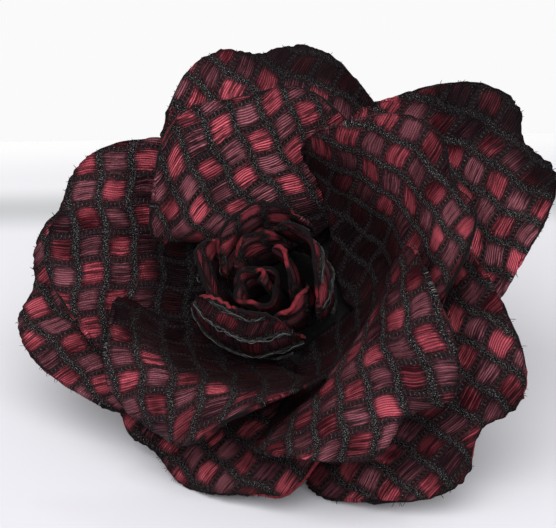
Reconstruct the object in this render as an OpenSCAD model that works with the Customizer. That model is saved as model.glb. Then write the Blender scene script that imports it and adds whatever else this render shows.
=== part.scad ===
/* [Cloth] */
// Thickness of the stiffened cloth
cloth_t = 1; // [0.8:0.1:1]
// Gap left between glued pieces
seat_gap = 0.3; // [0.2:0.1:0.5]

/* [Petals] */
// Usual length of an outer petal, root to tip
outer_len = 34; // [34:0.5:36]
// Usual width of an outer petal
outer_wid = 40; // [39:0.5:41]
// Usual length of a middle petal
mid_len = 32; // [32:0.5:33]
// Usual width of a middle petal
mid_wid = 38; // [36:0.5:38]
// Usual height of an inner petal
inner_len = 14; // [12:0.5:15]
// Usual width of an inner petal
inner_wid = 19; // [18:0.5:20]
// Usual height of a bud petal
bud_len = 11; // [10:0.5:12]
// Usual width of a bud petal
bud_wid = 12; // [11:0.5:12.5]

/* [Bud] */
// Turns of the rolled strip in the middle
roll_turns = 1.5; // [1.2:0.1:1.6]
// Height of the rolled strip at its inner end
roll_h = 10; // [8:0.5:11]

/* [Back] */
// Radius of the hidden core that the petals are glued to
core_r = 7.6; // [7.2:0.1:7.7]
// Height of the core
core_h = 5.6; // [5:0.1:5.7]
// Radius of the felt disc on the back
felt_r = 18; // [17:0.5:19]
// Thickness of the felt disc
felt_t = 1.5; // [1:0.1:2]
// Length of the clasp's base strip
clasp_len = 25; // [24:0.5:26]
// Width of the clasp's base strip
clasp_wid = 6; // [5:0.5:7]
// How far the clasp sits below the middle of the back
clasp_low = 9; // [8:0.5:10]
// Radius of the clasp's needle
needle_r = 0.45; // [0.4:0.05:0.5]
// Distance from the felt to the middle of the needle
needle_drop = 9; // [8:0.1:9.5]

/* [Pose] */
// Lean of the flower's axis from upright as it lies
lean = 43.0; // [40:0.1:50]
// Turn of the flower about its own axis
spin = 9.9; // [0:0.1:20]
// Turn of the lying flower about the upright
turn = 21.9; // [0:0.1:45]

/* [Hidden] */
// A petal is a grid of points: columns run across it, rows run from its root to its tip.
petal_cols = 10;
petal_rows = 10;
// Half-width at the root as a share of the full half-width, and where along the petal the full width begins.
root_share = 0.16;
wide_from = 0.75;
// How much the width draws in again at the tip.
tip_draw = 0.1;
// How far the tip's corners are rounded back.
corner = 0.4;
// Spread of the notch in the tip, as a share of the half-width.
notch_spread = 0.24;
// Waves of the ruffle along and across a petal.
ruffle_along = 1.2;
ruffle_across = 1.1;

// Named columns of the petal tables. facing is the direction of the petal about the axis, root_r and
// root_z the middle of its root, len_x and wid_x its length and width as shares of the usual ones.
// slope_0 to slope_3 are the angles above the horizontal at the root, a third, two thirds and the tip.
// cup_root and cup_tip curl the sides up, roll turns one side up and the other down, skew draws the
// tip sideways, notch and notch_at are the depth and the place of the dent in the tip, ruffle is the
// height of the waves and phase where they begin.
columns = ["facing", "root_r", "root_z", "len_x", "wid_x", "slope_0", "slope_1", "slope_2", "slope_3",
           "cup_root", "cup_tip", "roll", "skew", "notch", "notch_at", "ruffle", "phase"];
outer_petals = [
    [  99, 8.0, 0.9, 1.01, 0.95, 12, 26, 26, -10, 20, 25, 10,  0, 0.06,  0.00, 1.0,   0],
    [  31, 8.0, 0.9, 1.15, 0.95,  6, 24, 24, -15, 20, 20, 10,  0, 0.07,  0.00, 1.0,  60],
    [ -34, 8.0, 0.9, 1.03, 1.05, 12, 20, 12,  -8, 15, 15, 10,  0, 0.10,  0.00, 1.0, 120],
    [-109, 8.0, 1.0, 0.76, 1.00, 10, 21, 20,   6, 15, 15, 10,  0, 0.10, -0.45, 1.0, 200],
    [ 180, 8.0, 0.9, 1.01, 1.05, 12, 20, 20,   0, 15, 15,  5,  0, 0.06,  0.00, 1.0, 280],
];
middle_petals = [
    [ 164, 8.4, 3.2, 0.97, 0.98, 13, 40, 43,  12, 22, 15, -5,  0, 0.03,  0.00, 0.8,  10],
    [-119, 8.8, 5.5, 0.81, 1.02, 10, 64, 35, -60, 38, 28,   9,  0, 0.12, -0.90, 0.5,  80],
    [ -46, 8.6, 4.2, 1.11, 0.98, 17, 67, 28, -48, 30,  2, 12,  1, 0.08,  0.00, 0.8, 150],
    [  22, 8.4, 3.4, 1.00, 1.05, 12, 50, 50,  20, 50, 40,  8,  0, 0.08,  0.00, 0.8, 220],
    [ 102, 8.4, 3.7, 0.80, 1.10, 15, 45, 50,  25, 60, 55,  8,  0, 0.03,  0.00, 0.8, 290],
];
inner_petals = [
    [ 190, 7.2, 6.4, 1.05, 0.85, 50,  85,  95, 85, 59, 59, 10, 0, 0.03,  0.00, 0.4,  10],
    [-110, 7.3, 6.4, 1.35, 1.12,  4,  80, 115, 118, 57, 57,  4, 0, 0.03,  0.00, 0.4,  80],
    [  20, 6.5, 6.4, 1.05, 1.00, 50,  85,  95, 85, 59, 59, 10, 0, 0.03,  0.00, 0.4, 150],
    [ 110, 6.6, 6.4, 1.05, 0.95, 50,  85,  95, 85, 59, 59, 10, 0, 0.03,  0.00, 0.4, 220],
];
bud_petals = [
    [  20, 3.4, 6.4, 1.05, 0.84, 84,  88,  92, 80, 48, 48,  6, 0, 0.03,  0.00, 0.3,  40],
    [ 114, 5.4, 6.4, 0.95, 0.84, 80,  86,  90, 84, 42, 42,  0, 0, 0.03,  0.00, 0.3, 130],
    [ -50, 6.6, 6.4, 0.95, 0.84, 80,  86,  88, 80, 54, 54,  8, 0, 0.03,  0.00, 0.3, 250],
];

function at(row, name) = row[search([name], columns)[0]];
function clamp(x, low, high) = max(low, min(high, x));

// Chord of an arc of the given length whose slope turns evenly from a to b.
function arc_chord(a, b, length) =
    abs(b - a) < 0.01
        ? length * [cos(a), sin(a)]
        : length * 180 / PI / (b - a) * [sin(b) - sin(a), cos(a) - cos(b)];

// Slope at the start of third k of a petal, and at the share s of the way through that third.
function slope(row, k) = at(row, str("slope_", k));
function slope_in(row, k, s) = slope(row, k) + (slope(row, k + 1) - slope(row, k)) * s;
function slope_at(row, t) = let (k = min(2, floor(3 * t))) slope_in(row, k, 3 * t - k);

// Point of the petal's middle line, as [distance from the axis, height], at the share t of its length.
function third(row, length, k, t) =
    let (s = clamp(3 * t - k, 0, 1))
    arc_chord(slope(row, k), slope_in(row, k, s), length * s / 3);
function middle_line(row, length, t) =
    [at(row, "root_r"), at(row, "root_z")]
    + third(row, length, 0, t) + third(row, length, 1, t) + third(row, length, 2, t);

// Outline of the flat cut: half-width at row v, and how far along column u reaches at row v.
function half_width(v) =
    v < wide_from
        ? root_share + (1 - root_share) * sin(90 * v / wide_from)
        : 1 - tip_draw * pow((v - wide_from) / (1 - wide_from), 2);
function reach(row, u, v) =
    v * (1 - corner * pow(abs(u), 3)
        - at(row, "notch") * exp(-pow((u - at(row, "notch_at")) / notch_spread, 2)) * v * v);

// Height of the ruffle at the share q of the half-width and t of the length.
function ruffle(row, q, t) =
    let (phase = at(row, "phase"))
    at(row, "ruffle") * (q * q * sin(360 * ruffle_along * t + phase) * t
        + 0.6 * cos(360 * ruffle_across * q + phase) * pow(t, 3));

// Point of the cloth's middle face at column u (-1 to 1) and row v (0 to 1).
function petal_point(row, length, width, u, v) =
    let (
        t = reach(row, u, v),
        q = u * half_width(v),
        cup = at(row, "cup_root") * (1 - t) + at(row, "cup_tip") * t,
        bend = arc_chord(0, cup * q, width / 2 * q),
        up = bend[1] + ruffle(row, q, t),
        roll = at(row, "roll") * min(1, 10 * t),
        across = bend[0] * cos(roll) - up * sin(roll) + at(row, "skew") * t,
        out = bend[0] * sin(roll) + up * cos(roll),
        line = middle_line(row, length, t),
        tilt = slope_at(row, t),
        r = line[0] - out * sin(tilt),
        facing = at(row, "facing")
    )
    [r * cos(facing) - across * sin(facing), r * sin(facing) + across * cos(facing), line[1] + out * cos(tilt)];

function petal_grid(row, length, width) = [
    for (j = [0 : petal_rows]) [
        for (i = [0 : petal_cols])
            petal_point(row, length * at(row, "len_x"), width * at(row, "wid_x"),
                2 * i / petal_cols - 1, j / petal_rows)
    ]
];

// Unit normal of a grid's face at row j and column i, from its neighbours.
function unit(v) = v / norm(v);
function grid_normal(grid, j, i) =
    let (
        last_j = len(grid) - 1,
        last_i = len(grid[0]) - 1,
        along = grid[min(j + 1, last_j)][i] - grid[max(j - 1, 0)][i],
        across = grid[j][min(i + 1, last_i)] - grid[j][max(i - 1, 0)]
    )
    unit(cross(across, along));

// The two faces of a cloth whose middle face is the grid, as one list of points.
function face_points(grid) = [
    for (side = [1, -1])
        for (j = [0 : len(grid) - 1])
            for (i = [0 : len(grid[0]) - 1])
                grid[j][i] + side * cloth_t / 2 * grid_normal(grid, j, i)
];

// Closed sheet of even thickness with the grid as its middle face.
module sheet(grid) {
    rows = len(grid);
    cols = len(grid[0]);
    half = rows * cols;
    front = [
        for (j = [0 : rows - 2])
            for (i = [0 : cols - 2])
                let (a = j * cols + i, b = a + 1, c = b + cols, d = a + cols)
                each [[a, c, b], [a, d, c]]
    ];
    back = [for (f = front) [f[2] + half, f[1] + half, f[0] + half]];
    rim = concat(
        [for (i = [0 : cols - 2]) i],
        [for (j = [0 : rows - 2]) j * cols + cols - 1],
        [for (i = [cols - 1 : -1 : 1]) (rows - 1) * cols + i],
        [for (j = [rows - 1 : -1 : 1]) j * cols]
    );
    edge = [
        for (k = [0 : len(rim) - 1])
            let (a = rim[k], b = rim[(k + 1) % len(rim)])
            each [[a, b, b + half], [a, b + half, a + half]]
    ];
    polyhedron(face_points(grid), concat(front, back, edge), convexity = 6);
}

petal_grids = concat(
    [for (row = outer_petals) petal_grid(row, outer_len, outer_wid)],
    [for (row = middle_petals) petal_grid(row, mid_len, mid_wid)],
    [for (row = inner_petals) petal_grid(row, inner_len, inner_wid)],
    [for (row = bud_petals) petal_grid(row, bud_len, bud_wid)]
);

// Rolled strip: it winds out from roll_in to roll_out round roll_at, stands on the core and its top
// opens to a square.
roll_at = [-2.1, -1.7];
roll_in = 1.9;
roll_out = 3.5;
roll_cols = 40;
roll_rows = 3;
roll_end_h = 6;
roll_corners = 4;
roll_corner_out = 0.45;
roll_flare = 0.5;
function roll_point(s, v) =
    let (
        angle = 360 * roll_turns * s,
        opens = roll_flare * s - roll_corner_out * cos(roll_corners * angle),
        r = roll_in + (roll_out - roll_in) * s + v * v * opens
    )
    [
        roll_at[0] + r * cos(angle), roll_at[1] + r * sin(angle),
        core_h + seat_gap + v * (roll_h + (roll_end_h - roll_h) * s)
    ];
roll_grid = [
    for (i = [0 : roll_cols]) [
        for (j = [0 : roll_rows])
            roll_point(i / roll_cols, j / roll_rows)
    ]
];

// Clasp: a level base strip, a hinge post and a catch at its ends, and the needle between them.
strip_t = 0.8;
end_r = 2;
end_wid = 4.4;
post_x = clasp_len / 2 - end_r;
strip_z = -felt_t - seat_gap;
needle_z = -felt_t - needle_drop;

// The flower is turned about its own axis and leaned, so that it lies on two outer petals and both
// ends of the clasp. It is then moved so that the middle of its base is at the origin.
function turned(p, angle) =
    [p[0] * cos(angle) - p[1] * sin(angle), p[0] * sin(angle) + p[1] * cos(angle), p[2]];
function leaned(p) = [p[0], p[1] * cos(lean) - p[2] * sin(lean), p[1] * sin(lean) + p[2] * cos(lean)];
function laid(p) = turned(leaned(turned(p, spin)), -turn);
laid_points = [for (grid = petal_grids) for (p = face_points(grid)) laid(p)];
function lowest(k) = min([for (p = laid_points) p[k]]);
function highest(k) = max([for (p = laid_points) p[k]]);
clasp_foot = leaned([post_x, -clasp_low - end_wid / 2, needle_z - end_r])[2];
rest_shift = [-(lowest(0) + highest(0)) / 2, -(lowest(1) + highest(1)) / 2, -min(lowest(2), clasp_foot)];
module lying() {
    translate(rest_shift)
        rotate([0, 0, -turn])
            rotate([lean, 0, 0])
                rotate([0, 0, spin])
                    children();
}

module petal(grid) {
    color("#5a1a24")
        lying()
            sheet(grid);
}

module bud_roll() {
    color("#4a1822")
        lying()
            sheet(roll_grid);
}

module core() {
    color("#1c1719")
        lying()
            translate([0, 0, seat_gap])
                cylinder(h = core_h - seat_gap, r = core_r, $fn = 64);
}

module felt_back() {
    color("#141214")
        lying()
            translate([0, 0, -felt_t])
                cylinder(h = felt_t, r = felt_r, $fn = 96);
}

module pin_clasp() {
    color("#b9b6b0")
        lying()
            rotate([0, 0, -spin])
                translate([0, -clasp_low, 0]) {
                    translate([-clasp_len / 2, -clasp_wid / 2, strip_z - strip_t])
                        cube([clasp_len, clasp_wid, strip_t]);
                    for (side = [-1, 1])
                        translate([side * post_x, 0, needle_z])
                            rotate([90, 0, 0])
                                cylinder(h = end_wid, r = end_r, center = true, $fn = 48);
                    for (side = [-1, 1])
                        translate([side * post_x - strip_t / 2, -end_wid / 2, needle_z])
                            cube([strip_t, end_wid, strip_z - needle_z]);
                    translate([-post_x, 0, needle_z])
                        rotate([0, 90, 0])
                            cylinder(h = 2 * post_x, r = needle_r, $fn = 24);
                }
}

for (k = [0 : len(petal_grids) - 1])
    petal(petal_grids[k]);
bud_roll();
core();
felt_back();
pin_clasp();
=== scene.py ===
import bpy
import math
import random
import numpy as np
from mathutils import Vector, Matrix, noise


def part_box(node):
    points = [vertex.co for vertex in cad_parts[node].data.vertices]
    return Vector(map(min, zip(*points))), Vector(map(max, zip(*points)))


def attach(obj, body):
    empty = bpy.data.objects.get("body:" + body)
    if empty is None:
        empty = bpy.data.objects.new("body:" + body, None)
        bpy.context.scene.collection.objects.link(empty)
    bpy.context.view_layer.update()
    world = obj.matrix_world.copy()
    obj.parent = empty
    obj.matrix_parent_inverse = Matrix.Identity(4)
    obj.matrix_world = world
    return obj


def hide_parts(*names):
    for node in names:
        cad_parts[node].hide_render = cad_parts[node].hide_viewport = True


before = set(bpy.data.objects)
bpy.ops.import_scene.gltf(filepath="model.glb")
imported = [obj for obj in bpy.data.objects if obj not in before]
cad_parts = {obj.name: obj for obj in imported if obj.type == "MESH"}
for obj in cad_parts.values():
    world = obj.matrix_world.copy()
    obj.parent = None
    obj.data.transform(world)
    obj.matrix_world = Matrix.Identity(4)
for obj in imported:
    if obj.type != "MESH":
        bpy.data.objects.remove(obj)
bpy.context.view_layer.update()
print("frame loaded:", len(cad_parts), "nodes")

# the flower's own axes: it is shaped upright in millimetres, then leaned as it lies
flowerPose = dict(lean=43.0, spin=9.9, turn=21.9, coreTop=5.6, coreFoot=0.3)


def turnAbout(axis, angle):
    # a turn about axis 0, 1 or 2
    turn = np.eye(3)
    i, j = (axis + 1) % 3, (axis + 2) % 3
    turn[i, i] = turn[j, j] = math.cos(math.radians(angle))
    turn[j, i] = math.sin(math.radians(angle))
    turn[i, j] = -turn[j, i]
    return turn


flowerTurn = turnAbout(2, -flowerPose["turn"]) @ turnAbout(0, flowerPose["lean"]) @ turnAbout(2, flowerPose["spin"])
coreLow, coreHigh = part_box("core")
coreMiddle = np.array([0, 0, (flowerPose["coreTop"] + flowerPose["coreFoot"]) / 2])
flowerPlace = np.array((coreLow + coreHigh) / 2) * 1000 - flowerTurn @ coreMiddle


def toFrame(points):
    return (np.asarray(points) @ flowerTurn.T + flowerPlace) / 1000


def placePieces(pieces, node):
    # every piece is attached to the root, and the node is hidden
    for piece in pieces:
        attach(piece, "root")
    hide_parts(node)


# millimetres, and "cross" is the thinner rib that runs across the raised ones
weave = dict(
    ribPitch=4.5, crossPitch=4.2,
    ribWidth=0.85, crossWidth=0.5,
    ribBlur=0.2, crossBlur=0.18,
    ribFringe=1.35, crossFringe=1.15,  # how far a rib's dark fringe, the painted shade of the pillowed squares, reaches into the squares
    ragged=1.35,  # how much the ribs' sides waver
    threadPitch=0.36,
)


class Wire:
    # an output of a node, which can be added to, multiplied and so on
    def __init__(self, nodes, socket):
        self.nodes = nodes
        self.socket = socket

    def __add__(self, other):
        return self.nodes.math("ADD", self, other)

    def __sub__(self, other):
        return self.nodes.math("SUBTRACT", self, other)

    def __rsub__(self, other):
        return self.nodes.math("SUBTRACT", other, self)

    def __mul__(self, other):
        return self.nodes.math("MULTIPLY", self, other)

    def __truediv__(self, other):
        return self.nodes.math("DIVIDE", self, other)


class Nodes:
    # a short hand for laying out shader nodes
    def __init__(self, tree, shader=None):
        self.tree = tree
        self.shader = shader

    def add(self, kind, **settings):
        node = self.tree.nodes.new("ShaderNode" + kind)
        for name, value in settings.items():
            setattr(node, name, value)
        return node

    def link(self, source, socket):
        if isinstance(source, tuple):
            socket.default_value = (*source, 1.0)  # a colour
        elif isinstance(source, (int, float)):
            socket.default_value = source
        else:
            self.tree.links.new(source.socket, socket)

    def wire(self, kind, values=(), output=0, **settings):
        # adds a node, fills its inputs by their names or numbers and gives one of its outputs
        node = self.add(kind, **settings)
        for label, value in dict(values).items():
            self.link(value, node.inputs[label])
        return Wire(self, node.outputs[output])

    def wires(self, sockets):
        return {socket.name: Wire(self, socket) for socket in sockets}

    def math(self, operation, *values):
        return self.wire("Math", enumerate(values), operation=operation)

    def highest(self, a, b):
        return self.math("MAXIMUM", a, b)

    def step(self, value, low, high, fromTo=(0.0, 1.0)):
        ends = {"Value": value, "From Min": low, "From Max": high, "To Min": fromTo[0], "To Max": fromTo[1]}
        return self.wire("MapRange", ends, "Result", interpolation_type="SMOOTHSTEP")

    def mix(self, share, a, b):
        return self.wire("Mix", {"Factor": share, "A": a, "B": b}, "Result", data_type="RGBA")

    def vector(self, x, y, z=0.0):
        return self.wire("CombineXYZ", enumerate((x, y, z)))

    def split(self, vector, axis):
        return self.wire("SeparateXYZ", {0: vector}, axis)

    def noise(self, vector, scale, detail=2.0, rough=0.5):
        return self.wire("TexNoise", {"Vector": vector, "Scale": scale, "Detail": detail, "Roughness": rough}, "Fac")

    def white(self, vector):
        return self.wire("TexWhiteNoise", {"Vector": vector}, "Value", noise_dimensions="3D")

    def attribute(self, name):
        return self.wire("Attribute", output="Fac", attribute_name=name)

    def place(self):
        return self.wire("TexCoord", output="Object")

    def surface(self, values):
        for name, value in values.items():
            self.link(value, self.shader.inputs[name])

    def bump(self, height, strength, distance):
        values = {"Strength": strength, "Distance": distance, "Height": height}
        self.surface({"Normal": self.wire("Bump", values)})


def newGroup(name, inputs, outputs):
    tree = bpy.data.node_groups.new(name, "ShaderNodeTree")
    for label, value in inputs.items():
        socket = tree.interface.new_socket(label, in_out="INPUT", socket_type="NodeSocketFloat")
        socket.default_value = value
    for label in outputs:
        tree.interface.new_socket(label, in_out="OUTPUT", socket_type="NodeSocketFloat")
    n = Nodes(tree)
    return tree, n, n.wires(tree.nodes.new("NodeGroupInput").outputs), tree.nodes.new("NodeGroupOutput").inputs


def makeThreadGroup():
    # parallel threads that run along U: a height, a brightness for each thread and the dark gaps between bundles
    tree, n, given, result = newGroup("threadLines", {"U": 0.0, "V": 0.0, "Pitch": weave["threadPitch"], "Cell": 0.0},
                                      ("Height", "Bright", "Gap"))
    u, v, pitch, cell = (given[name] for name in ("U", "V", "Pitch", "Cell"))
    bow = n.noise(n.vector(u * 0.6, v, cell), 0.35) - 0.5
    across = (v + bow) / pitch
    number = n.math("FLOOR", across)
    n.link(n.math("SINE", (across - number) * math.pi), result["Height"])
    single = n.white(n.vector(number, cell))
    along = n.noise(n.vector(u * 0.5, number * 3.7, cell), 1.0)
    n.link(single * 0.6 + along * 0.5, result["Bright"])
    spread = n.noise(n.vector(u * 0.16, v * 2.3, cell), 1.0, 3.0, 0.6)
    n.link(n.step(spread, 0.53, 0.60), result["Gap"])
    return tree


def makeGridGroup():
    # the jacquard's grid: raised ribs along V, thinner ladder ribs across them, and squares numbered between
    tree, n, given, result = newGroup(
        "jacquardGrid",
        {"U": 0.0, "V": 0.0, "Rib Pitch": weave["ribPitch"], "Cross Pitch": weave["crossPitch"],
         "Rib Width": weave["ribWidth"], "Cross Width": weave["crossWidth"]},
        ("Rib", "Cross", "Square", "Red", "Cell", "Pillow"))
    uneven = n.noise(n.vector(given["U"], given["V"]), 1.3, 4.0, 0.75)
    ragged = (uneven - 0.5) * weave["ragged"]
    numbers, bands, nearness = [], [], []
    for axis, kind, blur, fringe in (("U", "Rib", weave["ribBlur"], weave["ribFringe"]),
                                     ("V", "Cross", weave["crossBlur"], weave["crossFringe"])):
        along = given[axis] / given[kind + " Pitch"]
        numbers.append(n.math("FLOOR", along))
        inside = along - numbers[-1]
        nearest = n.math("MINIMUM", inside, 1.0 - inside)
        away = nearest * given[kind + " Pitch"] + ragged
        half = given[kind + " Width"] * 0.5
        bands.append(n.step(away, half - blur, half + blur, (1.0, 0.0)))
        beyond = (away - half) / fringe
        nearness.append(n.math("POWER", n.highest(1.0 - beyond, 0.0), 2.0))
    # Pillow is one in the middle of a square and falls off towards its rounded corners
    corner = n.math("SQRT", nearness[0] + nearness[1])
    made = {"Pillow": n.step(corner, 0.36, 1.04, (1.0, 0.0)), "Rib": bands[0], "Cross": bands[1],
            "Square": 1.0 - n.highest(*bands), "Red": n.math("FLOORED_MODULO", numbers[0] + numbers[1], 2.0),
            "Cell": n.white(n.vector(*numbers))}
    for label, value in made.items():
        n.link(value, result[label])
    return tree


threadGroup = makeThreadGroup()
gridGroup = makeGridGroup()


def newMaterial(name):
    material = bpy.data.materials.new(name)
    material.use_nodes = True
    material.node_tree.nodes.clear()
    n = Nodes(material.node_tree)
    n.shader = n.add("BsdfPrincipled")
    n.link(Wire(n, n.shader.outputs[0]), n.add("OutputMaterial").inputs["Surface"])
    return material, n


def placeGroup(n, tree, **values):
    node = n.add("Group", node_tree=tree)
    for name, value in values.items():
        n.link(value, node.inputs[name])
    return n.wires(node.outputs)


jacquardLook = dict(
    redDeep=(0.060, 0.004, 0.008), redBright=(0.40, 0.070, 0.095),
    mauveDeep=(0.022, 0.005, 0.009), mauveBright=(0.205, 0.066, 0.084),
    # fringe is the colour of the painted shade next to the ribs, and also the ground of the ladder stitches
    ground=(0.0035, 0.003, 0.0035), fringe=(0.020, 0.0075, 0.010),
    ribThread=(0.028, 0.028, 0.028), knot=(0.195, 0.193, 0.19),
    squareMiddle=0.36, squareSpread=0.6,  # how much the squares' brightness differs
    sheenPatchSize=0.085, sheenPatchDepth=0.45,  # patches of painted sheen, duller or brighter: one part in so many millimetres, and how dark they get
    # fringeDepth and duskDepth: how dark the painted shade next to the ribs, and on the net in the flower's hollow,
    # gets
    fringeDepth=0.85, gapDepth=0.85, grooveDepth=0.5, duskDepth=0.45,
    ropeTwist=1.25, rungPitch=0.62,  # millimetres
    satinMetal=0.6, satinRough=0.42, netRough=0.80,
    sheen=0.02, sheenRough=0.4, sheenTint=(0.6, 0.15, 0.2), gloss=0.035,
    bumpStrength=0.9, bumpHeight=0.0003,
)


def makeJacquard(name, look):
    material, n = newMaterial(name)
    weaveUv = n.wire("UVMap", uv_map="weave")
    u, v = n.split(weaveUv, 0), n.split(weaveUv, 1)
    flat = n.vector(u, v)
    grid = placeGroup(n, gridGroup, U=u, V=v)
    square, rib, cross, cell = (grid[label] for label in ("Square", "Rib", "Cross", "Cell"))
    threads = placeGroup(n, threadGroup, U=u, V=v, Cell=cell)
    gap, ground = threads["Gap"], look["ground"]
    edge, light = n.attribute("fromEdge"), n.attribute("light")
    # fringe: where the painted highlight in a square's middle gives way to painted shade next to the ribs
    fringe = 1.0 - grid["Pillow"]

    # satin squares, red and mauve in turn, each a little lighter or darker, with a painted highlight in the middle and
    # painted shade next to the ribs, painted sheen duller or brighter over a few squares, and painted shade down in the
    # flower
    sheenPatch = n.step(n.noise(n.vector(u, v, 4.0), look["sheenPatchSize"], 3.0, 0.6), 0.40, 0.58)
    shine = threads["Bright"] + (cell - look["squareMiddle"]) * look["squareSpread"] + (sheenPatch * 0.5 - 0.3)
    # painted shade next to the ribs, and a painted highlight where the light attribute is above one
    shine = shine - fringe * 0.35 + n.highest(light - 1.0, 0.0)
    red = n.mix(shine, look["redDeep"], look["redBright"])
    mauve = n.mix(shine, look["mauveDeep"], look["mauveBright"])
    satin = n.mix(grid["Red"], mauve, red)
    satin = n.mix(fringe * look["fringeDepth"], satin, look["fringe"])
    satin = n.mix(gap * look["gapDepth"], satin, ground)
    groove = 1.0 - n.step(threads["Height"], 0.0, 0.55)
    satin = n.mix(groove * look["grooveDepth"], satin, ground)
    # the painted shade of the light attribute and the painted sheen patches darken the satin towards the black ground
    patchy = sheenPatch * look["sheenPatchDepth"] + (1.0 - look["sheenPatchDepth"])
    satin = n.mix(light * patchy, ground, satin)

    # ropes on the ribs, ladder stitches on the cross ribs, and pale knots here and there
    slant = v * 1.35 + u * 1.5
    twist = n.math("SINE", slant * (2 * math.pi / look["ropeTwist"]))
    fine = n.noise(flat, 7.0, 2.0, 0.8)
    rope = n.step(twist, -0.1, 0.9) * n.step(fine, 0.38, 0.62)
    rung = n.step(n.math("SINE", u * (2 * math.pi / look["rungPitch"])), 0.1, 0.8)
    rungs = rung * n.step(fine, 0.3, 0.6)
    ladder = n.mix(rungs, n.mix(0.5, ground, look["fringe"]), look["ribThread"])
    colour = n.mix(cross, satin, ladder)
    colour = n.mix(rib, colour, n.mix(rope, ground, look["ribThread"]))
    specks = n.noise(n.vector(u * 0.6, v, 9.0), 9.0, 1.0)
    dashes = n.noise(n.vector(u, v * 0.4, 5.0), 9.0, 1.0)
    ladderKnots = n.step(dashes, 0.57, 0.68) * (cross * rungs)
    knots = n.highest(ladderKnots, n.step(specks, 0.59, 0.67) * rib)
    fuzz = fringe * n.step(dashes, 0.6, 0.7)
    knots = n.highest(knots, fuzz * (square * 0.45))
    # the pale knots are dimmed in the painted shade of the flower's hollow
    knots = knots * (light * 0.5 + 0.5)
    colour = n.mix(knots, colour, look["knot"])
    bare = n.step(edge, 0.2, 1.1, (0.8, 0.0))
    colour = n.mix(bare * n.step(fine, 0.35, 0.6), colour, ground)
    # painted shade: the net goes dark where the light attribute is low
    dusk = (1.0 - light) * look["duskDepth"]
    colour = n.mix(dusk * (1.0 - square), colour, ground)

    # the satin mirrors the light in its own colour, the net round it is matt
    solid = square * (1.0 - gap)
    rough = square * (look["satinRough"] - look["netRough"]) + look["netRough"] + gap * 0.15
    n.surface({"Base Color": colour, "Metallic": solid * look["satinMetal"], "Roughness": rough,
               "Sheen Weight": look["sheen"], "Sheen Roughness": look["sheenRough"], "Sheen Tint": look["sheenTint"],
               "Specular IOR Level": look["gloss"]})
    height = threads["Height"] * (square * 0.55) - gap * 0.35
    height = height + rope * rib * 1.1 + rungs * cross * 0.8 + n.noise(flat, 4.0, 3.0, 0.7) * 0.5
    n.bump(height, look["bumpStrength"], look["bumpHeight"])
    return material


jacquard = makeJacquard("jacquardCloth", jacquardLook)

# the dark and the pale end of each yarn's shades, the scale of its fibres and its gloss
yarns = {
    "ropeYarn": ((0.003, 0.003, 0.0035), (0.32, 0.32, 0.325), 2600.0, 0.1),
    "frayedYarn": ((0.004, 0.0035, 0.004), (0.045, 0.018, 0.022), 2600.0, 0.1),
    "cutEdge": ((0.005, 0.0035, 0.004), (0.15, 0.016, 0.022), 1800.0, 0.02),
    "stitchThread": ((0.006, 0.006, 0.007), (0.05, 0.05, 0.052), 3000.0, 0.1),
}


def makeYarn(name, dark, pale, scale, gloss):
    # loose threads: each takes its own shade from the tint attribute
    material, n = newMaterial(name)
    fibre = n.noise(n.place(), scale, 2.0, 0.7)
    shade = n.attribute("tint") * n.step(fibre, 0.3, 0.7, (0.5, 1.0))
    n.surface({"Base Color": n.mix(shade, dark, pale), "Roughness": n.step(fibre, 0.2, 0.8, (0.5, 0.85)),
               "Sheen Weight": 0.02, "Specular IOR Level": gloss})
    n.bump(fibre, 0.5, 0.0001)
    return material


ropeYarn, frayYarn, edgeYarn, stitchYarn = (makeYarn(name, *look) for name, look in yarns.items())

# every petal is one flat cut: "corner", "tipDraw" and the notch shape its tip, the rest is how the cloth is ruffled
# and how thick it is, in millimetres
petalShape = dict(
    rootShare=0.16, wideFrom=0.75, tipDraw=0.1, corner=0.4, notchSpread=0.24,
    ruffleAlong=1.2, ruffleAcross=1.1, thick=0.6, relief=0.34, edgeRound=0.14, pucker=0.16,
)
petalColumns = ("facing rootR rootZ length width slope0 slope1 slope2 slope3 cupRoot cupTip roll skew notch notchAt "
                "ruffle phase weaveTurn weaveU weaveV").split()
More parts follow.
